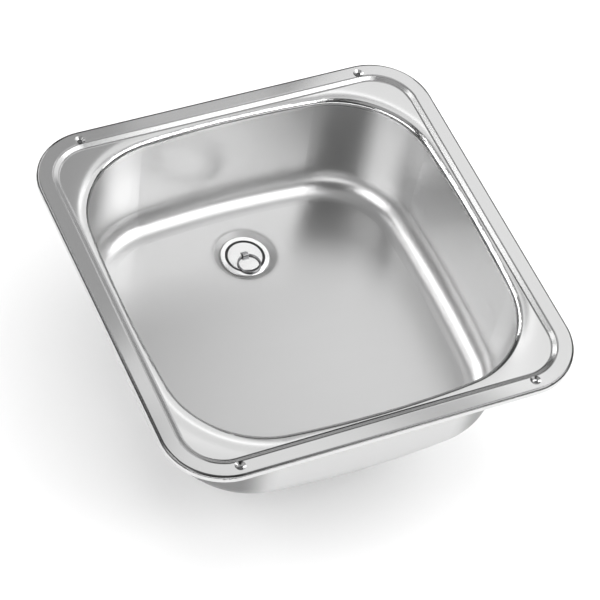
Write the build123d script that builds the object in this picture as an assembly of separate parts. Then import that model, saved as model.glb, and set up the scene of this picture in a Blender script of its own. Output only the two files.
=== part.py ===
from build123d import *
import os
from math import atan2, cos, radians, tan

# Stainless steel inset sink: a deep-drawn bowl with a stepped rim, and a waste with a plug and pull ring.
# Millimetres, +Z up, X along the front edge, Y towards the back.
# The origin is the middle of the worktop cut-out, on the worktop surface that carries the rim seal.

# Rim of the pressing
rim_width = 420.0  # outside, along X
rim_depth = 430.0  # outside, along Y
rim_corner_r = 60.0
rim_edge_r = 3.0  # roll of the outer edge
roll_margin = 1.0  # flat kept outside the step's blank, inside the roll
rim_drop = 6.8  # top of the rim to the foot of the rolled edge
sheet = 0.8  # thickness of the steel
land_width = 16.0  # outer edge to the top of the step
step_run = 5.5  # width of the sloping step
step_drop = 3.0
step_r = 4.0  # bends at the top and the foot of the step

# Bowl of the pressing
shelf_side = 6.5  # foot of the step to the wall, at the middle of the left and right sides
shelf_end = 7.0  # the same at the front and the back
bow_side_r = 1500.0  # the left and right walls bow outwards in plan
bow_end_r = 1000.0  # the front and back walls do too
bowl_corner_r = 95.0
lip_r = 5.2
lead_margin = 1.7  # level band kept between the step and the lead-in to the lip, at the narrowest shelf
lead_drop = 0.9  # the lead-in slopes down to the lip by this much
lead_bend_r = 4.0
draft = 3.5  # lean of the walls, in degrees
bowl_depth = 124.0  # top of the rim to the floor
floor_r = 25.0

# Recess and hole for the waste
drain_from_back = 107.0  # rim's back edge to the middle of the waste
recess_margin = 1.2  # flange's edge to the foot of the recess's slope
recess_run = 5.2  # width of that slope
recess_drop = 4.0
recess_r = 1.4  # bend at the foot of the recess
recess_bend_r = 3.0  # bend at its top
hub_clearance = 0.5

# Dimpled screw holes in the front and back lands
screw_from_side = 59.0
screw_from_end = 11.8
screw_hole_d = 5.0
dimple_d = 10.6
dimple_drop = 1.8

# Foam seal under the rim
seal_thickness = 6.4
seal_width = 9.0
seal_inset = 3.6  # outer edge of the rim to the seal
seal_pocket_clearance = 0.4

# Waste flange and its threaded spigot
flange_d = 51.0
flange_thickness = 1.2
flange_edge_r = 0.8
flange_overhang = 3.9  # hub to the flange's edge
seat_depth = 9.0
seat_lean = 16.0  # degrees from upright
hub_wall = 1.0  # at the mouth of the plug's seat
thread_relief = 0.65  # hub to the crest of the thread, which is 41.9 mm across: one and a quarter inch pipe
spigot_wall = 3.75
spigot_length = 40.0  # below the hub
strainer_depth = 23.0  # flange top to the strainer
strainer_height = 2.5
strainer_hub_d = 9.0
spoke_width = 2.4
spoke_count = 6

# Seals, washers and nuts of the waste
gasket_thickness = 0.8
gasket_rim = 0.6  # the gasket stops this far inside the flange's edge
lower_gasket_thickness = 3.0
lower_gasket_width = 7.8
slip_thickness = 1.0
slip_width = 6.8
washer_clearance = 0.25
thread_clearance = 0.1
backnut_wall = 4.95  # thinnest, at the middle of a flat
backnut_height = 8.0
backnut_collar_wall = 7.45
backnut_collar_height = 2.5
nut_chamfer = 0.8

# Hose tail and its coupling nut
tail_washer_thickness = 2.0
tail_collar_thickness = 3.5
tail_d = 25.0
tail_bore_d = 19.0
tail_neck_d = 27.0  # through the coupling nut
tail_stop = 3.0  # neck below the nut, where the hose stops
barb_count = 5
barb_pitch = 7.0
barb_crest = 2.0  # full diameter at the top of a barb
barb_drop = 1.0  # depth of the slope below it
coupling_wall = 4.0
coupling_grip = 16.0  # length of thread that the nut covers
coupling_floor = 4.0
coupling_clearance = 0.3
rib_count = 16
rib_d = 4.0

# Plug
plug_gap = 0.25  # rubber to its seat, square to the cone
stopper_height = 7.5
stopper_drop = 1.0  # below the flange's top
cap_margin = 2.6  # seat's mouth to the cap's edge
cap_thickness = 1.0
cap_edge_r = 0.5
stud_d = 5.0
stud_clearance = 0.1
stud_end = 2.0  # stud showing below the nut
plug_washer_d = 18.0
plug_washer_thickness = 1.2
plug_nut_flats = 8.0
plug_nut_height = 4.0

# Pull ring and its saddle
ring_d = 22.7  # middle of the wire
wire_d = 1.8
ring_behind = 0.4  # hinge line behind the plug's middle
ring_gap = 0.5  # ring to the cap and to the saddle
saddle_width = 6.0
saddle_thickness = 0.8
saddle_foot = 3.0  # strap's foot, measured from the tunnel
saddle_bend_r = 0.8

# Levels that follow from the sizes above
rim_top = seal_thickness + sheet
roll_inset = rim_edge_r + roll_margin
drain_y = rim_depth / 2 - drain_from_back
land_z = rim_top - step_drop
floor_z = rim_top - bowl_depth
recess_z = floor_z - recess_drop
recess_under_z = recess_z - sheet
flange_foot_z = recess_z + gasket_thickness
flange_top_z = flange_foot_z + flange_thickness
hub_r = flange_d / 2 - flange_overhang
seat_r = hub_r - hub_wall
thread_r = hub_r - thread_relief
bore_r = thread_r - spigot_wall
cap_r = seat_r - cap_margin
recess_floor_r = flange_d / 2 + recess_margin
seal_r = flange_d / 2 - gasket_rim
hub_foot_z = recess_under_z
spigot_foot_z = hub_foot_z - spigot_length
lower_gasket_z = recess_under_z - lower_gasket_thickness
slip_z = lower_gasket_z - slip_thickness
stopper_top_z = flange_top_z - stopper_drop
cap_top_z = stopper_top_z + cap_thickness
stopper_foot_z = stopper_top_z - stopper_height
plug_washer_z = stopper_foot_z - plug_washer_thickness
plug_nut_z = plug_washer_z - plug_nut_height
stud_foot_z = plug_nut_z - stud_end
hinge_y = drain_y + ring_behind
hinge_z = cap_top_z + ring_gap + wire_d / 2
wire_sag = saddle_width ** 2 / 4 / ring_d  # how far the ring curves within the saddle
tunnel_width = wire_d + 2 * (wire_sag + ring_gap)
tunnel_height = wire_d + wire_sag + 2 * ring_gap
tail_washer_z = spigot_foot_z - tail_washer_thickness
tail_collar_z = tail_washer_z - tail_collar_thickness
coupling_foot_z = tail_collar_z - coupling_floor
hose_top_z = coupling_foot_z - tail_stop
tail_foot_z = hose_top_z - barb_count * barb_pitch
screw_x = rim_width / 2 - screw_from_side
screw_y = rim_depth / 2 - screw_from_end
opening_half_x = rim_width / 2 - land_width - step_run - shelf_side
opening_half_y = rim_depth / 2 - land_width - step_run - shelf_end
lead_run = min(shelf_side, shelf_end) - lead_margin
washer_bore_r = thread_r + washer_clearance
gasket_r = washer_bore_r + lower_gasket_width
slip_r = washer_bore_r + slip_width
nut_bore_r = thread_r + thread_clearance
tail_r = tail_d / 2


def rim_outline(inset):
    """Rounded rectangle that lies a given distance inside the rim's outer edge."""
    return RectangleRounded(rim_width - 2 * inset, rim_depth - 2 * inset, rim_corner_r - inset)


def bowl_outline(grow):
    """Plan of the bowl: the overlap of four large circles, with its corners rounded."""
    half_x = opening_half_x + grow
    half_y = opening_half_y + grow
    side_r = bow_side_r + grow
    end_r = bow_end_r + grow
    plan = Pos(half_x - side_r, 0) * Circle(side_r)
    plan &= Pos(side_r - half_x, 0) * Circle(side_r)
    plan &= Pos(0, half_y - end_r) * Circle(end_r)
    plan &= Pos(0, end_r - half_y) * Circle(end_r)
    return fillet(plan.vertices(), bowl_corner_r + grow)


def prism(outline, low, high):
    """Upright solid on a plan outline, between two levels."""
    return Pos(0, 0, low) * extrude(outline, amount=high - low)


def cone(foot_r, top_r, low, high):
    """Upright frustum on the Z axis, between two levels."""
    return Pos(0, 0, (low + high) / 2) * Cone(foot_r, top_r, high - low)


def waste_ring(outer_r, inner_r, low, high):
    """Flat ring on the waste's axis, between two levels."""
    return Pos(0, drain_y) * prism(Circle(outer_r) - Circle(inner_r), low, high)


def turned(*points):
    """Solid turned about the waste's axis from a closed outline of radius and height."""
    outline = make_face(Polyline(*points, close=True))
    return Pos(0, drain_y) * revolve(Plane.XZ * outline, Axis.Z)


def spread(grow, slope):
    """Sideways shift of the corner between a level and a slope when both are offset by grow."""
    return grow * tan(slope / 2)


def level_face(solid, level):
    """The largest level face of a solid at a given height."""
    near = solid.faces().filter_by(Plane.XY).filter_by_position(Axis.Z, level - 0.01, level + 0.01)
    return near.sort_by(SortBy.AREA)[-1]


def bowl_space(grow):
    """Space inside the bowl below the inner land, with its bottom bend, offset by grow."""
    top = land_z - grow
    outline = bowl_outline(spread(grow, radians(90 - draft)))
    walls = extrude(outline, amount=land_z - floor_z, taper=draft)
    walls = fillet(walls.faces().sort_by(Axis.Z)[-1].edges(), floor_r + grow)
    return Pos(0, 0, top) * (Rot(180, 0, 0) * walls)


def step_space(grow):
    """Space above the inner land inside the sloping step, offset by grow."""
    shift = spread(grow, atan2(step_drop, step_run))
    high = Pos(0, 0, rim_top - grow) * rim_outline(land_width - shift)
    low = Pos(0, 0, land_z - grow) * rim_outline(land_width + step_run - shift)
    return loft([low, high], ruled=True)


def lead_levels(grow):
    """Reach of the lead-in beyond the wall's plan, its depth, and the wall's plan at that depth, offset by grow."""
    slope = atan2(lead_drop, lead_run)
    lean = tan(radians(draft))
    reach = lead_run + spread(grow, slope)
    wall = spread(grow, radians(90 - draft))
    depth = (reach - wall) * tan(slope) / (1 - lean * tan(slope))
    return reach, depth, wall - depth * lean


def lead_space(grow):
    """Space above the shallow lead-in round the bowl's mouth, offset by grow."""
    reach, depth, foot = lead_levels(grow)
    top = land_z - grow
    high = Pos(0, 0, top) * bowl_outline(reach)
    low = Pos(0, 0, top - depth) * bowl_outline(foot)
    return loft([low, high], ruled=True)


def recess_space(grow):
    """Space of the waste's recess below the floor, offset by grow."""
    foot_r = recess_floor_r + spread(grow, atan2(recess_drop, recess_run))
    return Pos(0, drain_y) * cone(foot_r, foot_r + recess_run, recess_z - grow, floor_z - grow)


def skin_space(grow):
    """Space above the pressing's upper skin, or above its under skin where grow is one sheet."""
    space = prism(rim_outline(roll_inset), rim_top - grow, rim_top + sheet)
    space += step_space(grow)
    space += bowl_space(grow)
    space += lead_space(grow)
    space += recess_space(grow)
    lip_z = land_z - grow - lead_levels(grow)[1]
    space = fillet(space.edges().filter_by_position(Axis.Z, lip_z - 0.01, lip_z + 0.01), lip_r - grow)
    space = fillet(level_face(space, land_z - grow).inner_wires()[0].edges(), lead_bend_r - grow)
    space = fillet(level_face(space, land_z - grow).outer_wire().edges(), step_r + grow)
    space = fillet(level_face(space, rim_top - grow).inner_wires()[0].edges(), step_r - grow)
    space = fillet(level_face(space, floor_z - grow).inner_wires()[0].edges(), recess_bend_r - grow)
    return fillet(level_face(space, recess_z - grow).outer_wire().edges(), recess_r + grow)


def rolled_edge():
    """The rim's outer margin, rolled down all round."""
    foot = rim_top - rim_drop
    outside = prism(rim_outline(0), foot, rim_top)
    outside = fillet(outside.faces().sort_by(Axis.Z)[-1].edges(), rim_edge_r)
    inside = prism(rim_outline(sheet), foot, rim_top - sheet)
    inside = fillet(inside.faces().sort_by(Axis.Z)[-1].edges(), rim_edge_r - sheet)
    return outside - inside - prism(rim_outline(roll_inset), foot, rim_top)


def screw_places():
    """Middles of the four screw holes, on the level of the origin."""
    return GridLocations(2 * screw_x, 2 * screw_y, 2, 2)


def dimple(grow):
    """Conical dimple of a screw hole, offset by grow."""
    shift = spread(grow, atan2(dimple_drop, (dimple_d - screw_hole_d) / 2))
    top = rim_top - grow
    return cone(screw_hole_d / 2 + shift, dimple_d / 2 + shift, top - dimple_drop, top)


def make_sink_bowl():
    """The pressing: two offset skins apart by one sheet, a rolled edge, dimpled holes and the waste hole."""
    pan = skin_space(sheet) - skin_space(0)
    pan += rolled_edge()
    for place in screw_places():
        pan += place * dimple(sheet)
        pan -= place * dimple(0)
        pan -= place * Cylinder(screw_hole_d / 2, 4 * rim_drop)
    hole = Circle(hub_r + hub_clearance)
    return pan - Pos(0, drain_y) * prism(hole, recess_z - 2 * sheet, floor_z)


def make_rim_seal():
    """Foam strip under the land, with a blind pocket for each dimple; the screws pierce its floor."""
    strip = prism(rim_outline(seal_inset) - rim_outline(seal_inset + seal_width), 0, seal_thickness)
    shift = spread(sheet, atan2(dimple_drop, (dimple_d - screw_hole_d) / 2))
    pocket = Circle(dimple_d / 2 + shift + seal_pocket_clearance)
    floor = seal_thickness - dimple_drop - seal_pocket_clearance
    for place in screw_places():
        strip -= place * prism(pocket, floor, seal_thickness + sheet)
    return strip


def seat_radius(level):
    """Radius of the plug's conical seat at a height."""
    return seat_r - (flange_top_z - level) * tan(radians(seat_lean))


def make_waste_flange():
    """Turned flange with the plug's seat, a threaded spigot and a spoked strainer in its bore."""
    seat_foot_z = flange_top_z - seat_depth
    body = turned(
        (flange_d / 2, flange_foot_z),
        (flange_d / 2, flange_top_z),
        (seat_r, flange_top_z),
        (seat_radius(seat_foot_z), seat_foot_z),
        (bore_r, seat_foot_z),
        (bore_r, spigot_foot_z),
        (thread_r, spigot_foot_z),
        (thread_r, hub_foot_z),
        (hub_r, hub_foot_z),
        (hub_r, flange_foot_z),
    )
    rim = body.edges().filter_by(GeomType.CIRCLE).group_by(Axis.Z)[-1].sort_by(SortBy.RADIUS)[-1]
    body = fillet(rim, flange_edge_r)
    strainer_z = flange_top_z - strainer_depth
    middle = Circle(strainer_hub_d / 2)
    for turn in range(spoke_count):
        spoke = Pos(bore_r / 2, 0) * Rectangle(bore_r + hub_wall, spoke_width)
        middle += Rot(0, 0, 360 / spoke_count * turn) * spoke
    return body + Pos(0, drain_y) * prism(middle, strainer_z, strainer_z + strainer_height)


def make_backnut():
    """Hexagon nut with a round collar against the washer."""
    hexagon = RegularPolygon(nut_bore_r + backnut_wall, 6, major_radius=False)
    collar = Circle(nut_bore_r + backnut_collar_wall)
    nut = prism(hexagon, slip_z - backnut_height, slip_z)
    nut = chamfer(nut.faces().sort_by(Axis.Z)[0].edges(), nut_chamfer)
    nut += prism(collar, slip_z - backnut_collar_height, slip_z)
    nut -= prism(Circle(nut_bore_r), slip_z - 2 * backnut_height, slip_z + sheet)
    return Pos(0, drain_y) * nut


def make_hose_tail():
    """Collar, neck and barbed tail, turned; each barb is steep above and slopes away below."""
    way_r = tail_bore_d / 2
    neck_r = tail_neck_d / 2
    collar_r = thread_r - coupling_clearance
    points = [(way_r, tail_foot_z), (way_r, tail_washer_z), (collar_r, tail_washer_z)]
    points += [(collar_r, tail_collar_z), (neck_r, tail_collar_z), (neck_r, hose_top_z)]
    for index in range(barb_count):
        top = hose_top_z - index * barb_pitch
        points += [(tail_r, top), (tail_r, top - barb_crest), (tail_r - barb_drop, top - barb_pitch)]
    return turned(*points)


def make_coupling_nut():
    """Round nut with gripping ribs; its floor carries the hose tail's collar."""
    outer_r = nut_bore_r + coupling_wall
    top = spigot_foot_z + coupling_grip
    nut = Circle(outer_r)
    for place in PolarLocations(outer_r, rib_count):
        nut += place * Circle(rib_d / 2)
    nut = prism(nut, coupling_foot_z, top)
    nut = chamfer(nut.faces().sort_by(Axis.Z)[0].edges(), nut_chamfer)
    nut = chamfer(nut.faces().sort_by(Axis.Z)[-1].edges(), nut_chamfer)
    nut -= prism(Circle(nut_bore_r), tail_collar_z, top)
    nut -= prism(Circle(tail_neck_d / 2 + coupling_clearance), coupling_foot_z, top)
    return Pos(0, drain_y) * nut


def make_plug_stopper():
    """Rubber cone that closes the seat, with a hole for the cap's stud."""
    gap = plug_gap / cos(radians(seat_lean))
    hole_r = stud_d / 2 + stud_clearance
    return turned(
        (hole_r, stopper_top_z),
        (seat_radius(stopper_top_z) - gap, stopper_top_z),
        (seat_radius(stopper_foot_z) - gap, stopper_foot_z),
        (hole_r, stopper_foot_z),
    )


def make_plug_cap():
    """Metal disc with a rounded edge and the stud that passes through the rubber."""
    disc = prism(Circle(cap_r), stopper_top_z, cap_top_z)
    disc = fillet(disc.faces().sort_by(Axis.Z)[-1].edges(), cap_edge_r)
    disc += prism(Circle(stud_d / 2), stud_foot_z, stopper_top_z)
    return Pos(0, drain_y) * disc


def make_plug_nut():
    """Hexagon nut on the stud."""
    hexagon = RegularPolygon(plug_nut_flats / 2, 6, major_radius=False)
    nut = hexagon - Circle(stud_d / 2 + stud_clearance)
    return Pos(0, drain_y) * prism(nut, plug_nut_z, plug_washer_z)


def make_ring_saddle():
    """Strap bent over the ring's wire, with a foot in front and one behind."""
    standing = (Align.CENTER, Align.MIN)
    strap_width = tunnel_width + 2 * saddle_thickness
    arch = Rectangle(strap_width, tunnel_height + saddle_thickness, align=standing)
    arch = fillet(arch.vertices().group_by(Axis.Y)[-1], saddle_bend_r + saddle_thickness)
    tunnel = Rectangle(tunnel_width, tunnel_height, align=standing)
    tunnel = fillet(tunnel.vertices().group_by(Axis.Y)[-1], saddle_bend_r)
    feet = Rectangle(tunnel_width + 2 * saddle_foot, saddle_thickness, align=standing)
    strap = extrude(Plane.YZ * (arch + feet - tunnel), amount=saddle_width / 2, both=True)
    return Pos(0, hinge_y, cap_top_z) * strap


def make_pull_ring():
    """Round wire ring, lying flat in front of its hinge line."""
    return Pos(0, hinge_y - ring_d / 2, hinge_z) * Torus(ring_d / 2, wire_d / 2)


nodes = {
    "sink_bowl": make_sink_bowl(),
    "rim_seal": make_rim_seal(),
    "waste_flange": make_waste_flange(),
    "flange_gasket": waste_ring(seal_r, hub_r + washer_clearance, recess_z, flange_foot_z),
    "lower_gasket": waste_ring(gasket_r, washer_bore_r, lower_gasket_z, recess_under_z),
    "slip_washer": waste_ring(slip_r, washer_bore_r, slip_z, lower_gasket_z),
    "backnut": make_backnut(),
    "tail_washer": waste_ring(thread_r - coupling_clearance, tail_bore_d / 2, tail_washer_z, spigot_foot_z),
    "hose_tail": make_hose_tail(),
    "coupling_nut": make_coupling_nut(),
    "plug_stopper": make_plug_stopper(),
    "plug_cap": make_plug_cap(),
    "plug_washer": waste_ring(plug_washer_d / 2, stud_d / 2 + stud_clearance, plug_washer_z, stopper_foot_z),
    "plug_nut": make_plug_nut(),
    "ring_saddle": make_ring_saddle(),
    "pull_ring": make_pull_ring(),
}

os.makedirs("parts", exist_ok=True)
for name, solid in nodes.items():
    export_step(solid, f"parts/{name}.step")
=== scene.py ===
"""Looks of a stainless steel inset sink, its waste and its plug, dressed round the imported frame."""

import logging
import math
from dataclasses import dataclass
from enum import Enum
from typing import Dict, List, Tuple, Union

import bmesh
import bpy
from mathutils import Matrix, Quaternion, Vector


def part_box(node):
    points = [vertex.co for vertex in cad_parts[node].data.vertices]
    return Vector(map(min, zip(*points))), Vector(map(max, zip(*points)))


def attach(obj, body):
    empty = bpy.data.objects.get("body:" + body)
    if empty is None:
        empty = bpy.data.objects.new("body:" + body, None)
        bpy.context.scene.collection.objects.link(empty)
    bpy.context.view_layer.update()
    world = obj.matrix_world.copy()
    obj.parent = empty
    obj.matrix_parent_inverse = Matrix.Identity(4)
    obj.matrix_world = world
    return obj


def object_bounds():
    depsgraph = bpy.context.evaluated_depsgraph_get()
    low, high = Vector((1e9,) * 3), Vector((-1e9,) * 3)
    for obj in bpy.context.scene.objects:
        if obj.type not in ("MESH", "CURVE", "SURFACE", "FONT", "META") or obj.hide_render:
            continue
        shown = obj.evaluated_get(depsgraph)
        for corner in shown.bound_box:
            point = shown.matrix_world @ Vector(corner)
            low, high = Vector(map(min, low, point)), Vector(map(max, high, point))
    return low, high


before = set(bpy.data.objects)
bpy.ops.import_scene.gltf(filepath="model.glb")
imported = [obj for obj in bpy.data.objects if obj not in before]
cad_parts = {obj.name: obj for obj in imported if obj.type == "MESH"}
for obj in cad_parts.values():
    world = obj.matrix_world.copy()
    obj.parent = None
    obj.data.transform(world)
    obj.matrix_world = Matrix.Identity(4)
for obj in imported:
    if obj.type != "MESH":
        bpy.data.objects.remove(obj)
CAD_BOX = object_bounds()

LOG = logging.getLogger("inset_sink")
Colour = Tuple[float, float, float]
Point = Tuple[float, float, float]
Socket = bpy.types.NodeSocket
Feed = Union[Socket, float, Tuple[float, ...]]

WASTE_AXIS: Vector = (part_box("waste_flange")[0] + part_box("waste_flange")[1]) / 2
RIM_TOP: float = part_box("sink_bowl")[1].z
WHITE = (1.0, 1.0, 1.0, 1.0)
ONLY_LEVEL = (1.0, 1.0, 0.0)  # times a vector, leaves its X and Y
NOISE_LOW, NOISE_HIGH = 0.3, 0.7  # most of a noise texture's values lie between these
LINE_DETAIL = 2.0
LINE_STRENGTH = 1.0
GRAIN_DETAIL = 3.0
GRAIN_STRENGTH = 0.6
GRAIN_ROUGHNESS = 0.08  # change of roughness to either side


class GrainLay(Enum):
    """Direction of the fine lines that polishing leaves in a metal face."""

    ALONG_FRONT = "along_front"
    ROUND_WASTE = "round_waste"


class FaceNormal(Enum):
    """Which of a mesh's normals a finish reads, by the name of Blender's socket."""

    FACET = "True Normal"
    SMOOTH = "Normal"


class NodeSheet:
    """The shader nodes of one material, with short calls to add and link them."""

    def __init__(self, name: str) -> None:
        """Start a material with only its output.

        Args:
            name: Name of the material.
        """
        self.material = bpy.data.materials.new(name)
        self.material.use_nodes = True
        self.tree = self.material.node_tree
        self.tree.nodes.clear()
        self.output = self.add("ShaderNodeOutputMaterial")

    def add(self, kind: str, **settings: object) -> bpy.types.Node:
        """Add a node.

        Args:
            kind: Blender's name of the node type.
            settings: Properties to set on the node.

        Returns:
            The new node.
        """
        node = self.tree.nodes.new(kind)
        for key, value in settings.items():
            setattr(node, key, value)
        return node

    def link(self, source: Socket, target: Socket) -> None:
        """Join an output socket to an input socket."""
        self.tree.links.new(source, target)

    def feed(self, target: Socket, value: Feed) -> None:
        """Set an input socket to a value, or join it to an output socket.

        Args:
            target: The input socket.
            value: The value or the output socket.
        """
        if isinstance(value, bpy.types.NodeSocket):
            self.link(value, target)
        else:
            target.default_value = value

    def number(self, operation: str, *values: Feed) -> Socket:
        """Work on numbers.

        Args:
            operation: Blender's name of the operation.
            values: Its inputs, in order.

        Returns:
            The resulting number.
        """
        node = self.add("ShaderNodeMath", operation=operation)
        for target, value in zip(node.inputs, values):
            self.feed(target, value)
        return node.outputs["Value"]

    def vector(self, operation: str, *values: Feed, result: str = "Vector") -> Socket:
        """Work on vectors.

        Args:
            operation: Blender's name of the operation.
            values: Its inputs, in order.
            result: Vector, or Value where the operation gives a number.

        Returns:
            The resulting vector or number.
        """
        node = self.add("ShaderNodeVectorMath", operation=operation)
        for target, value in zip(node.inputs, values):
            self.feed(target, value)
        return node.outputs[result]

    def product(self, first: Socket, *others: Socket) -> Socket:
        """Multiply numbers.

        Args:
            first: The first number.
            others: The rest.

        Returns:
            The product of them all.
        """
        result = first
        for other in others:
            result = self.number("MULTIPLY", result, other)
        return result

    def place(self) -> Socket:
        """Place on the object, in metres."""
        return self.add("ShaderNodeTexCoord").outputs["Object"]

    def normal(self, kind: FaceNormal) -> Socket:
        """Normal of the surface, without any bump."""
        return self.add("ShaderNodeNewGeometry").outputs[kind.value]

    def split(self, vector: Socket) -> Tuple[Socket, Socket, Socket]:
        """Take a vector apart.

        Args:
            vector: The vector.

        Returns:
            Its X, Y and Z.
        """
        node = self.add("ShaderNodeSeparateXYZ")
        self.link(vector, node.inputs["Vector"])
        return node.outputs["X"], node.outputs["Y"], node.outputs["Z"]

    def join(self, x: Feed, y: Feed = 0.0) -> Socket:
        """Make a level vector.

        Args:
            x: Its part along X.
            y: Its part along Y.

        Returns:
            The vector.
        """
        node = self.add("ShaderNodeCombineXYZ")
        self.feed(node.inputs["X"], x)
        self.feed(node.inputs["Y"], y)
        return node.outputs["Vector"]

    def ramp(self, value: Socket, start: float, end: float, low: float = 0.0, high: float = 1.0) -> Socket:
        """Go smoothly from one result to another.

        Args:
            value: The value that is followed.
            start: Value at which the change starts.
            end: Value at which it ends.
            low: Result up to the start.
            high: Result past the end.

        Returns:
            The result.
        """
        node = self.add("ShaderNodeMapRange", interpolation_type="SMOOTHSTEP")
        node.inputs["From Min"].default_value = start
        node.inputs["From Max"].default_value = end
        node.inputs["To Min"].default_value = low
        node.inputs["To Max"].default_value = high
        self.link(value, node.inputs["Value"])
        return node.outputs["Result"]

    def principled(self, colour: Colour, roughness: float, metallic: float = 0.0) -> bpy.types.Node:
        """Add the surface shader and join it to the output.

        Args:
            colour: Base colour, linear.
            roughness: Roughness where no texture drives it.
            metallic: 1 for metal, 0 for the rest.

        Returns:
            The shader node.
        """
        shader = self.add("ShaderNodeBsdfPrincipled")
        shader.inputs["Base Color"].default_value = (*colour, 1.0)
        shader.inputs["Roughness"].default_value = roughness
        shader.inputs["Metallic"].default_value = metallic
        self.link(shader.outputs["BSDF"], self.output.inputs["Surface"])
        return shader

    def noise(self, vector: Socket, scale: float, detail: float) -> Socket:
        """Add a noise texture.

        Args:
            vector: Socket with the texture's coordinates, in metres.
            scale: Noise cells in a metre.
            detail: Octaves of finer noise.

        Returns:
            The noise's factor.
        """
        texture = self.add("ShaderNodeTexNoise")
        texture.inputs["Scale"].default_value = scale
        texture.inputs["Detail"].default_value = detail
        self.link(vector, texture.inputs["Vector"])
        return texture.outputs["Fac"]

    def spread(self, noise: Socket, low: float, high: float) -> Socket:
        """Stretch the usual values of a noise over a range.

        Args:
            noise: Socket with the noise's factor.
            low: Result at the low end.
            high: Result at the high end.

        Returns:
            The mapped value.
        """
        node = self.add("ShaderNodeMapRange")
        node.inputs["From Min"].default_value = NOISE_LOW
        node.inputs["From Max"].default_value = NOISE_HIGH
        node.inputs["To Min"].default_value = low
        node.inputs["To Max"].default_value = high
        self.link(noise, node.inputs["Value"])
        return node.outputs["Result"]

    def darken(self, colour: Feed, share: Socket, tone: float) -> Socket:
        """Darken part of a colour.

        Args:
            colour: The colour, as a value or a socket.
            share: Socket with 1 where it is darkened and 0 where it stays.
            tone: Share of the colour that is left there.

        Returns:
            The colour with its darker part.
        """
        mix = self.add("ShaderNodeMix", data_type="RGBA", blend_type="MULTIPLY")
        self.feed(mix.inputs["A"], colour)
        mix.inputs["B"].default_value = (tone, tone, tone, 1.0)
        self.link(share, mix.inputs["Factor"])
        return mix.outputs["Result"]

    def bump(self, shader: bpy.types.Node, height: Socket, strength: float, depth: float) -> None:
        """Join a height to the shader's normal.

        Args:
            shader: The surface shader.
            height: Socket with the height.
            strength: Share of the bump that shows.
            depth: Depth of a full step of the height, in metres.
        """
        node = self.add("ShaderNodeBump")
        node.inputs["Strength"].default_value = strength
        node.inputs["Distance"].default_value = depth
        self.link(height, node.inputs["Height"])
        self.link(node.outputs["Normal"], shader.inputs["Normal"])


def waste_distance(sheet: NodeSheet, place: Socket) -> Socket:
    """Distance from the waste's axis.

    Args:
        sheet: The material's nodes.
        place: Socket with the place on the object.

    Returns:
        Socket with the distance, in metres.
    """
    from_axis = sheet.vector("SUBTRACT", place, (WASTE_AXIS.x, WASTE_AXIS.y, 0.0))
    return sheet.vector("LENGTH", sheet.vector("MULTIPLY", from_axis, ONLY_LEVEL), result="Value")


@dataclass(frozen=True)
class SteelFinish:
    """Polished or satin steel with a fine lay of polishing lines."""

    name: str
    colour: Colour
    roughness: float
    roughness_spread: float
    lay: GrainLay
    lines_per_metre: float
    line_stretch: float
    line_depth: float

    def lay_coordinates(self, sheet: NodeSheet) -> Socket:
        """Coordinates that run fast across the polishing lines and slowly along them.

        Args:
            sheet: The material's nodes.

        Returns:
            The coordinate socket.
        """
        place = sheet.place()
        if self.lay is GrainLay.ALONG_FRONT:
            return sheet.vector("MULTIPLY", place, (1.0 / self.line_stretch, 1.0, 1.0))
        return sheet.join(waste_distance(sheet, place))

    def build(self, sheet: NodeSheet) -> Tuple[bpy.types.Node, Socket]:
        """Add the shader, the polishing lines and their relief.

        Args:
            sheet: The material's nodes.

        Returns:
            The shader and the socket with its roughness.
        """
        shader = sheet.principled(self.colour, self.roughness, metallic=1.0)
        lines = sheet.noise(self.lay_coordinates(sheet), self.lines_per_metre, LINE_DETAIL)
        low = self.roughness - self.roughness_spread
        high = self.roughness + self.roughness_spread
        roughness = sheet.spread(lines, low, high)
        sheet.link(roughness, shader.inputs["Roughness"])
        sheet.bump(shader, lines, LINE_STRENGTH, self.line_depth)
        return shader, roughness

    def material(self) -> bpy.types.Material:
        """Build the finish as a material.

        Returns:
            The material.
        """
        sheet = NodeSheet(self.name)
        self.build(sheet)
        return sheet.material


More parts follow.
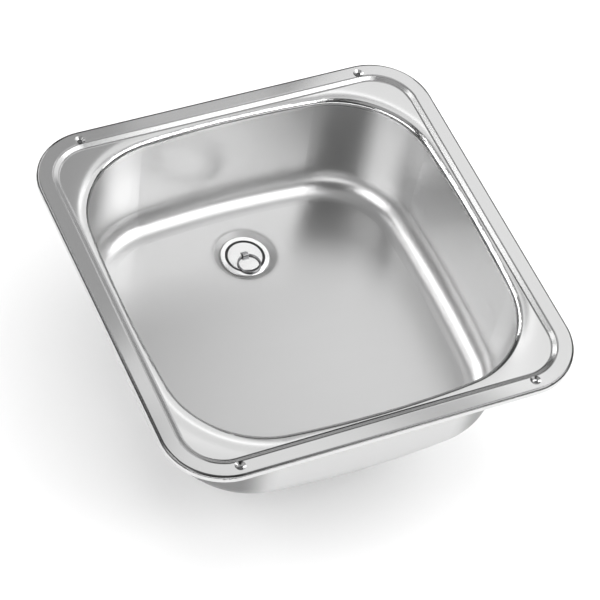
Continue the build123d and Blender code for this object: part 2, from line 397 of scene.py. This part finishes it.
@dataclass(frozen=True)
class DishedMouth:
    """Shading of the inner shelf, which dips towards the bowl's mouth all round.

    Lengths are in metres. The mouth's outline has bowed sides and ends and round corners.
    """

    half_width: float = 0.182
    half_depth: float = 0.1865
    side_bow: float = 1.5
    end_bow: float = 1.0
    corner: float = 0.071
    slope: float = 0.27
    fade: float = 0.011
    shelf_depth: float = 0.0026
    step_depth: float = 0.0021
    level_cosine: float = 0.985
    steep_cosine: float = 0.93

    def bowed_side(self, sheet: NodeSheet, along: Socket, out: Socket, half: float, bow: float) -> Socket:
        """How far a place lies outside one pair of the mouth's bowed sides, plus the corner radius.

        Args:
            sheet: The material's nodes.
            along: Socket with the place along the side.
            out: Socket with the place across it.
            half: Distance of the side from the middle.
            bow: Radius of the side in plan.

        Returns:
            Socket with the distance, not below zero.
        """
        shifted = sheet.number("ADD", sheet.number("ABSOLUTE", out), bow - half)
        reach = sheet.vector("LENGTH", sheet.join(shifted, along), result="Value")
        return sheet.number("MAXIMUM", sheet.number("SUBTRACT", reach, bow - self.corner), 0.0)

    def mouth_distance(self, sheet: NodeSheet, place: Socket) -> Socket:
        """Distance outwards from the bowl's mouth in plan.

        Args:
            sheet: The material's nodes.
            place: Socket with the place on the object.

        Returns:
            Socket with the distance, zero inside the mouth.
        """
        x, y, _ = sheet.split(place)
        sides = self.bowed_side(sheet, y, x, self.half_width, self.side_bow)
        ends = self.bowed_side(sheet, x, y, self.half_depth, self.end_bow)
        reach = sheet.vector("LENGTH", sheet.join(sides, ends), result="Value")
        return sheet.number("MAXIMUM", sheet.number("SUBTRACT", reach, self.corner), 0.0)

    def dip(self, sheet: NodeSheet, place: Socket) -> Socket:
        """Height of the dished shelf, steepest at the mouth.

        Args:
            sheet: The material's nodes.
            place: Socket with the place on the object.

        Returns:
            Socket with the height, in metres.
        """
        fades = sheet.number("DIVIDE", self.mouth_distance(sheet, place), -self.fade)
        return sheet.number("MULTIPLY", sheet.number("EXPONENT", fades), -self.slope * self.fade)

    def shade(self, sheet: NodeSheet, shader: bpy.types.Node, place: Socket, level: Socket) -> None:
        """Tilt the shelf's normals, but not those of the step, the lip or the land.

        Args:
            sheet: The material's nodes.
            shader: The surface shader, whose grain is already joined to it.
            place: Socket with the place on the object.
            level: Socket with the height of that place.
        """
        below = sheet.ramp(level, RIM_TOP - self.shelf_depth, RIM_TOP - self.step_depth, 1.0, 0.0)
        upright = sheet.split(sheet.normal(FaceNormal.FACET))[2]
        flat = sheet.ramp(upright, self.steep_cosine, self.level_cosine)
        tilt = sheet.add("ShaderNodeBump")
        tilt.inputs["Distance"].default_value = 1.0
        sheet.link(sheet.product(below, flat), tilt.inputs["Strength"])
        sheet.link(self.dip(sheet, place), tilt.inputs["Height"])
        sheet.link(shader.inputs["Normal"].links[0].from_socket, tilt.inputs["Normal"])
        sheet.link(tilt.outputs["Normal"], shader.inputs["Normal"])


@dataclass(frozen=True)
class PaintedBendReflections:
    """Painted dark reflections: a darker tone on the rim's outward roll, the bends of its step and the
    outside of the bowl's corners.

    A tone is the share of the colour that is left. Depths are below the rim's top, in metres. A lean is the
    level part of the normal times the distance from the sink's middle, positive outwards.
    """

    # painted dark reflections: share of the steel's colour left on the roll, the step's bends and the outer
    # corners
    roll_tone: float = 0.24
    roll_depth: float = 0.004
    roll_start_lean: float = 0.025
    roll_full_lean: float = 0.055
    roll_steep_cosine: float = 0.50
    roll_bend_cosine: float = 0.72
    step_tone: float = 0.66
    step_depth: float = 0.00298
    step_start_lean: float = -0.012
    step_full_lean: float = -0.022
    step_steep_cosine: float = 0.90
    step_bend_cosine: float = 0.935
    corner_tone: float = 0.36
    corner_depth: float = 0.008
    corner_start_lean: float = 0.02
    corner_full_lean: float = 0.06
    corner_start_turn: float = 0.10
    corner_full_turn: float = 0.42

    def shade(self, sheet: NodeSheet, shader: bpy.types.Node, place: Socket, level: Socket) -> None:
        """Paint the dark reflections into the shader's colour on the bends and the bowl's outer corners.

        Args:
            sheet: The material's nodes.
            shader: The surface shader, with its colour set.
            place: Socket with the place on the object.
            level: Socket with the height of that place.
        """
        normal = sheet.normal(FaceNormal.SMOOTH)
        from_middle = sheet.vector("MULTIPLY", place, ONLY_LEVEL)
        lean = sheet.vector("DOT_PRODUCT", normal, from_middle, result="Value")
        x, y, upright = sheet.split(normal)
        turn = sheet.number("ABSOLUTE", sheet.number("MULTIPLY", x, y))
        roll = sheet.product(
            sheet.ramp(lean, self.roll_start_lean, self.roll_full_lean),
            sheet.ramp(upright, self.roll_steep_cosine, self.roll_bend_cosine),
            sheet.number("GREATER_THAN", level, RIM_TOP - self.roll_depth),
        )
        step = sheet.product(
            sheet.ramp(lean, self.step_start_lean, self.step_full_lean),
            sheet.ramp(upright, self.step_steep_cosine, self.step_bend_cosine),
            sheet.number("GREATER_THAN", level, RIM_TOP - self.step_depth),
        )
        corner = sheet.product(
            sheet.ramp(lean, self.corner_start_lean, self.corner_full_lean),
            sheet.ramp(turn, self.corner_start_turn, self.corner_full_turn),
            sheet.number("LESS_THAN", level, RIM_TOP - self.corner_depth),
        )
        # the base colour is darkened here by painted dark reflections, standing in for what the steel
        # mirrors
        colour: Feed = tuple(shader.inputs["Base Color"].default_value)
        tones = ((roll, self.roll_tone), (step, self.step_tone), (corner, self.corner_tone))
        for share, tone in tones:
            colour = sheet.darken(colour, share, tone)
        sheet.link(colour, shader.inputs["Base Color"])


@dataclass(frozen=True)
class PressedFinish(SteelFinish):
    """Satin steel of the bowl: polished on the rim, less so on the rim's step, dull round the waste.

    It also shades the dished shelf and paints dark reflections onto the rim's bends and the bowl's outer
    corners.
    """

    rim_shine: float
    bright_depth: float
    satin_depth: float
    recess_dulling: float
    recess_radius: float
    recess_edge: float
    step_dulling: float
    step_depth: float
    step_level_cosine: float
    step_steep_cosine: float
    mouth: DishedMouth
    bends: PaintedBendReflections

    def step_share(self, sheet: NodeSheet, level: Socket) -> Socket:
        """How much rougher the pressed step is than the level steel beside it.

        Args:
            sheet: The material's nodes.
            level: Socket with the height of the place.

        Returns:
            Socket with the factor, 1 away from the step.
        """
        upright = sheet.split(sheet.normal(FaceNormal.FACET))[2]
        steep, flat = self.step_steep_cosine, self.step_level_cosine
        added = sheet.ramp(upright, steep, flat, self.step_dulling - 1.0, 0.0)
        high = sheet.number("GREATER_THAN", level, RIM_TOP - self.step_depth)
        return sheet.number("MULTIPLY_ADD", added, high, 1.0)

    def material(self) -> bpy.types.Material:
        """Build the finish as a material.

        Returns:
            The material.
        """
        sheet = NodeSheet(self.name)
        shader, satin = self.build(sheet)
        place = sheet.place()
        level = sheet.split(place)[2]
        satin_level, bright_level = RIM_TOP - self.satin_depth, RIM_TOP - self.bright_depth
        shine = sheet.ramp(level, satin_level, bright_level, 1.0, self.rim_shine)
        reach = waste_distance(sheet, place)
        recess_end = self.recess_radius + self.recess_edge
        dull = sheet.ramp(reach, self.recess_radius, recess_end, self.recess_dulling, 1.0)
        roughness = sheet.product(satin, shine, dull, self.step_share(sheet, level))
        sheet.link(roughness, shader.inputs["Roughness"])
        self.mouth.shade(sheet, shader, place, level)
        # painted dark reflections on the rim's bends and the bowl's outer corners
        self.bends.shade(sheet, shader, place, level)
        return sheet.material


@dataclass(frozen=True)
class MouldedFinish:
    """Rubber, foam or plastic with a speckled colour and a fine grain."""

    name: str
    colour: Colour
    speckle: float
    roughness: float
    grains_per_metre: float
    grain_depth: float

    def material(self) -> bpy.types.Material:
        """Build the finish as a material.

        Returns:
            The material.
        """
        sheet = NodeSheet(self.name)
        shader = sheet.principled(self.colour, self.roughness)
        grain = sheet.noise(sheet.place(), self.grains_per_metre, GRAIN_DETAIL)
        mix = sheet.add("ShaderNodeMix", data_type="RGBA")
        mix.inputs["A"].default_value = (*(c * (1.0 - self.speckle) for c in self.colour), 1.0)
        mix.inputs["B"].default_value = (*(c * (1.0 + self.speckle) for c in self.colour), 1.0)
        sheet.link(grain, mix.inputs["Factor"])
        sheet.link(mix.outputs["Result"], shader.inputs["Base Color"])
        low, high = self.roughness - GRAIN_ROUGHNESS, self.roughness + GRAIN_ROUGHNESS
        sheet.link(sheet.spread(grain, low, high), shader.inputs["Roughness"])
        sheet.bump(shader, grain, GRAIN_STRENGTH, self.grain_depth)
        return sheet.material


BOWL_STEEL = PressedFinish(
    name="drawn_satin_steel", colour=(0.62, 0.62, 0.62), roughness=0.31, roughness_spread=0.012,
    lay=GrainLay.ALONG_FRONT, lines_per_metre=500.0, line_stretch=25.0, line_depth=0.0000001,
    rim_shine=0.41, bright_depth=0.0075, satin_depth=0.0105,
    recess_dulling=2.0, recess_radius=0.031, recess_edge=0.006,
    step_dulling=1.9, step_depth=0.0026, step_level_cosine=0.97, step_steep_cosine=0.90,
    # bends carry the painted dark reflections
    mouth=DishedMouth(), bends=PaintedBendReflections(),
)
POLISHED_STEEL = SteelFinish(
    name="bright_polished_steel", colour=(0.80, 0.80, 0.80), roughness=0.10, roughness_spread=0.02,
    lay=GrainLay.ROUND_WASTE, lines_per_metre=1500.0, line_stretch=1.0, line_depth=0.0000001,
)
PLUG_STEEL = SteelFinish(
    name="turned_plug_steel", colour=(0.72, 0.72, 0.72), roughness=0.16, roughness_spread=0.02,
    lay=GrainLay.ROUND_WASTE, lines_per_metre=1500.0, line_stretch=1.0, line_depth=0.0000001,
)
WIRE_STEEL = SteelFinish(
    name="drawn_ring_wire", colour=(0.30, 0.30, 0.305), roughness=0.16, roughness_spread=0.03,
    lay=GrainLay.ALONG_FRONT, lines_per_metre=1500.0, line_stretch=6.0, line_depth=0.0000005,
)
FASTENER_STEEL = SteelFinish(
    name="turned_fastener_steel", colour=(0.55, 0.55, 0.55), roughness=0.32, roughness_spread=0.06,
    lay=GrainLay.ALONG_FRONT, lines_per_metre=1800.0, line_stretch=4.0, line_depth=0.000002,
)
SEAL_RUBBER = MouldedFinish(
    name="black_sealing_rubber", colour=(0.022, 0.022, 0.023), speckle=0.25, roughness=0.55,
    grains_per_metre=2500.0, grain_depth=0.00004,
)
SEAL_FOAM = MouldedFinish(
    name="grey_sealing_foam", colour=(0.07, 0.07, 0.072), speckle=0.5, roughness=0.85,
    grains_per_metre=1400.0, grain_depth=0.00035,
)
WASTE_PLASTIC = MouldedFinish(
    name="black_moulded_plastic", colour=(0.045, 0.046, 0.048), speckle=0.15, roughness=0.42,
    grains_per_metre=1800.0, grain_depth=0.00006,
)


def dress(node: str, finish: bpy.types.Material) -> None:
    """Give a CAD node its finish.

    Args:
        node: Name of the node.
        finish: The material.
    """
    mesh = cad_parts[node].data
    mesh.materials.clear()
    mesh.materials.append(finish)
    LOG.info("dressed %s in %s", node, finish.name)


def add_object(name: str, data: bpy.types.ID) -> bpy.types.Object:
    """Put a new object into the scene.

    Args:
        name: Its name.
        data: Its mesh, light or camera.

    Returns:
        The object.
    """
    added = bpy.data.objects.new(name, data)
    bpy.context.scene.collection.objects.link(added)
    return added


@dataclass
class SinkPressing:
    """The drawn steel bowl with its rim, and the foam strip under the rim."""

    bowl: str = "sink_bowl"
    strip: str = "rim_seal"

    def dress(self) -> None:
        """Give the bowl and the strip their finishes."""
        dress(self.bowl, BOWL_STEEL.material())
        dress(self.strip, SEAL_FOAM.material())


@dataclass
class WasteFitting:
    """The flange in the bowl, and the seals, nuts and hose tail below it. Lengths are in metres."""

    flange: str = "waste_flange"
    rubbers: Tuple[str, ...] = ("flange_gasket", "lower_gasket", "tail_washer")
    plastics: Tuple[str, ...] = ("slip_washer", "backnut", "hose_tail", "coupling_nut")
    spigot_radius: float = 0.02095
    thread_pitch: float = 0.002309
    thread_height: float = 0.0005
    thread_foot_depth: float = 0.00005
    thread_core_depth: float = 0.0002
    thread_foot_share: float = 0.42  # half the ridge's foot, of the pitch
    thread_crest_share: float = 0.10  # half its crest, of the pitch
    thread_run_out: float = 0.25  # turn over which the ridge fades at each end
    thread_end_gap: float = 0.0009
    steps_per_turn: int = 72

    def thread_section(self, height: float) -> List[Tuple[float, float]]:
        """Section of the thread's ridge, as reach from the spigot's face and rise along it.

        Args:
            height: Height of the ridge here.

        Returns:
            Corners of the section, in order round it.
        """
        foot = self.thread_foot_depth
        half_foot = self.thread_foot_share * self.thread_pitch
        half_crest = self.thread_crest_share * self.thread_pitch
        return [
            (-foot, -half_foot), (height, -half_crest), (height, half_crest), (-foot, half_foot),
            (-self.thread_core_depth, 0.0),
        ]

    def wind_thread(self, foot: float, count: int) -> Tuple[List[Point], List[Tuple[int, ...]]]:
        """Wind the section of the ridge up the spigot.

        Args:
            foot: Height of the ridge's lower end.
            count: Steps of the winding.

        Returns:
            The ridge's points and its faces.
        """
        corners = len(self.thread_section(0.0))
        verts: List[Point] = []
        faces: List[Tuple[int, ...]] = []
        for step in range(count + 1):
            turns = step / self.steps_per_turn
            turns_to_end = min(step, count - step) / self.steps_per_turn
            height = self.thread_height * min(1.0, turns_to_end / self.thread_run_out)
            across, along = math.cos(2.0 * math.pi * turns), math.sin(2.0 * math.pi * turns)
            level = foot + self.thread_pitch * turns
            for reach, rise in self.thread_section(height):
                radius = self.spigot_radius + reach
                verts.append((WASTE_AXIS.x + radius * across, WASTE_AXIS.y + radius * along, level + rise))
            if step:
                last, here = (step - 1) * corners, step * corners
                for k in range(corners):
                    n = (k + 1) % corners
                    faces.append((last + k, here + k, here + n, last + n))
        faces.append(tuple(reversed(range(corners))))
        faces.append(tuple(count * corners + k for k in range(corners)))
        return verts, faces

    def build_thread(self, finish: bpy.types.Material) -> None:
        """Build the thread's ridge on the stretch of spigot between the two nuts.

        Args:
            finish: Finish of the spigot.
        """
        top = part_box("backnut")[0].z - self.thread_end_gap
        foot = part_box("coupling_nut")[1].z + self.thread_end_gap
        turns = (top - foot) / self.thread_pitch
        verts, faces = self.wind_thread(foot, int(turns * self.steps_per_turn))
        mesh = bpy.data.meshes.new("spigot_thread")
        mesh.from_pydata(verts, [], faces)
        mesh.validate()
        builder = bmesh.new()
        builder.from_mesh(mesh)
        bmesh.ops.recalc_face_normals(builder, faces=builder.faces)
        builder.to_mesh(mesh)
        builder.free()
        mesh.materials.append(finish)
        thread = add_object("spigot_thread", mesh)
        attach(thread, "sink")
        LOG.info("built %s, %.1f turns", thread.name, turns)

    def dress(self, polished: bpy.types.Material, rubber: bpy.types.Material) -> None:
        """Give every piece of the waste its finish, and the spigot its thread.

        Args:
            polished: Finish of the flange.
            rubber: Finish of the seals.
        """
        dress(self.flange, polished)
        self.build_thread(polished)
        plastic = WASTE_PLASTIC.material()
        for node in self.rubbers:
            dress(node, rubber)
        for node in self.plastics:
            dress(node, plastic)


@dataclass
class LiftOutPlug:
    """The rubber stopper with its metal disc, its fastener and the pull ring."""

    stopper: str = "plug_stopper"
    disc: str = "plug_cap"
    wires: Tuple[str, ...] = ("pull_ring", "ring_saddle")
    fasteners: Tuple[str, ...] = ("plug_washer", "plug_nut")

    def dress(self, rubber: bpy.types.Material) -> None:
        """Give every piece of the plug its finish.

        Args:
            rubber: Finish of the stopper.
        """
        dress(self.stopper, rubber)
        dress(self.disc, PLUG_STEEL.material())
        wire = WIRE_STEEL.material()
        plain = FASTENER_STEEL.material()
        for node in self.wires:
            dress(node, wire)
        for node in self.fasteners:
            dress(node, plain)


def direction(azimuth_deg: float, elevation_deg: float) -> Vector:
    """Unit vector from the sink towards a place round it.

    Args:
        azimuth_deg: 0 in front of the sink, 90 on its right.
        elevation_deg: Angle above the level.

    Returns:
        The direction.
    """
    turn = math.radians(azimuth_deg)
    rise = math.radians(elevation_deg)
    return Vector((math.sin(turn) * math.cos(rise), -math.cos(turn) * math.cos(rise), math.sin(rise)))


@dataclass(frozen=True)
class Softbox:
    """A rectangular soft light aimed at the sink, which shows in the steel unless mirrored is off."""

    name: str
    azimuth_deg: float
    elevation_deg: float
    width_m: float
    height_m: float
    radiance: float
    distance_m: float = 1.3
    mirrored: bool = True

    def build(self) -> None:
        """Place the light."""
        data = bpy.data.lights.new(self.name, "AREA")
        data.shape = "RECTANGLE"
        data.size = self.width_m
        data.size_y = self.height_m
        data.energy = self.radiance * math.pi * self.width_m * self.height_m
        lamp = add_object(self.name, data)
        away = direction(self.azimuth_deg, self.elevation_deg)
        lamp.location = away * self.distance_m
        lamp.rotation_euler = away.to_track_quat("Z", "Y").to_euler()
        lamp.visible_camera = False
        lamp.visible_glossy = self.mirrored
        LOG.info("lit by %s", self.name)


# Name, azimuth, elevation, width, height and radiance of each light
SOFTBOXES: List[Softbox] = [
    Softbox("right_bank", 56.0, 43.5, 1.04, 0.78, 3.7),
    Softbox("left_bank", -82.0, 35.0, 0.98, 0.80, 2.7),
    Softbox("back_left_bank", -150.0, 28.0, 1.18, 0.58, 3.6),
    Softbox("back_left_top", -150.0, 52.0, 0.28, 0.26, 2.6),
    Softbox("back_right_panel", 120.0, 36.5, 1.08, 0.82, 1.10),
    Softbox("back_panel", 171.0, 50.0, 0.66, 0.52, 0.42),
    Softbox("back_low_panel", 157.0, 41.0, 0.26, 0.20, 0.28),
    Softbox("back_low_strip", 148.0, 8.0, 1.15, 0.36, 0.35),
    Softbox("front_low_strip", -18.0, 15.5, 2.25, 0.26, 2.6),
    Softbox("right_top", 60.0, 69.0, 0.28, 0.26, 2.3),
    Softbox("high_right_panel", 112.0, 66.0, 1.26, 0.60, 0.60),
    Softbox("high_back_panel", 143.0, 64.0, 0.36, 0.22, 0.45),
    Softbox("overhead_panel", -90.0, 80.0, 1.0, 0.6, 0.40),
    Softbox("floor_lamp", 0.0, 89.9, 1.8, 1.8, 2.0, distance_m=2.2, mirrored=False),
    Softbox("floor_front_lamp", 35.0, 42.0, 1.6, 1.2, 2.6, distance_m=2.2, mirrored=False),
]


@dataclass
class Studio:
    """Pale floor, soft light and a camera at the photograph's angle."""

    camera_azimuth_deg: float = -32.6
    camera_elevation_deg: float = 51.23
    camera_roll_deg: float = 11.45
    camera_distance_m: float = 2.5877
    camera_aim: Tuple[float, float] = (-0.0235, -0.0466)
    lens_mm: float = 164.16
    sensor_mm: float = 36.0
    floor_radius_m: float = 0.95
    floor_steps: int = 96
    floor_middle: Tuple[float, float] = (0.22, -0.22)
    floor_gap_m: float = 0.0003
    floor_colour: Colour = (0.88, 0.88, 0.88)
    floor_roughness: float = 0.9
    floor_glow: float = 0.05
    backdrop_radius_m: float = 8.0
    backdrop_steps: Tuple[int, int] = (64, 32)
    fill_radiance: float = 0.07

    def build_camera(self) -> None:
        """Place the camera where the photograph was taken from."""
        data = bpy.data.cameras.new("photo_camera")
        data.lens = self.lens_mm
        data.sensor_width = self.sensor_mm
        camera = add_object("photo_camera", data)
        away = direction(self.camera_azimuth_deg, self.camera_elevation_deg)
        aim = Vector((*self.camera_aim, RIM_TOP))
        camera.location = aim + away * self.camera_distance_m
        camera.rotation_mode = "QUATERNION"
        roll = Quaternion((0.0, 0.0, 1.0), math.radians(self.camera_roll_deg))
        camera.rotation_quaternion = (-away).to_track_quat("-Z", "Y") @ roll
        bpy.context.scene.camera = camera

    def build_floor(self) -> None:
        """Lay a round, pale floor just below the lowest piece."""
        level = CAD_BOX[0].z - self.floor_gap_m
        turns = [2.0 * math.pi * step / self.floor_steps for step in range(self.floor_steps)]
        middle = Vector((*self.floor_middle, level))
        edge = [middle + self.floor_radius_m * Vector((math.cos(a), math.sin(a), 0.0)) for a in turns]
        mesh = bpy.data.meshes.new("studio_floor")
        mesh.from_pydata(edge, [], [tuple(range(self.floor_steps))])
        floor = add_object("studio_floor", mesh)
        sheet = NodeSheet("studio_floor_paint")
        shader = sheet.principled(self.floor_colour, self.floor_roughness)
        shader.inputs["Emission Color"].default_value = WHITE
        shader.inputs["Emission Strength"].default_value = self.floor_glow
        mesh.materials.append(sheet.material)

    def build_backdrop(self) -> None:
        """Close the view with a white shell that neither lights the sink nor shows in it."""
        round_steps, rise_steps = self.backdrop_steps
        builder = bmesh.new()
        bmesh.ops.create_uvsphere(
            builder, u_segments=round_steps, v_segments=rise_steps, radius=self.backdrop_radius_m,
        )
        mesh = bpy.data.meshes.new("studio_backdrop")
        builder.to_mesh(mesh)
        builder.free()
        shell = add_object("studio_backdrop", mesh)
        sheet = NodeSheet("studio_backdrop_glow")
        glow = sheet.add("ShaderNodeEmission")
        sheet.link(glow.outputs["Emission"], sheet.output.inputs["Surface"])
        mesh.materials.append(sheet.material)
        shell.visible_diffuse = False
        shell.visible_glossy = False
        shell.visible_transmission = False
        shell.visible_shadow = False

    def build_fill(self) -> None:
        """Surround the sink with an even, weak glow."""
        world = bpy.data.worlds.new("studio_fill")
        world.use_nodes = True
        glow = world.node_tree.nodes["Background"]
        glow.inputs["Color"].default_value = WHITE
        glow.inputs["Strength"].default_value = self.fill_radiance
        bpy.context.scene.world = world

    def build(self) -> None:
        """Build the floor, the lights and the camera."""
        self.build_floor()
        self.build_backdrop()
        self.build_fill()
        for softbox in SOFTBOXES:
            softbox.build()
        self.build_camera()
        bpy.context.scene.view_settings.view_transform = "Standard"


def main() -> None:
    """Dress every sub-assembly, then build the studio."""
    logging.basicConfig(level=logging.INFO, format="%(name)s: %(message)s")
    polished = POLISHED_STEEL.material()
    rubber = SEAL_RUBBER.material()
    SinkPressing().dress()
    WasteFitting().dress(polished, rubber)
    LiftOutPlug().dress(rubber)
    Studio().build()


if __name__ == "__main__":
    main()
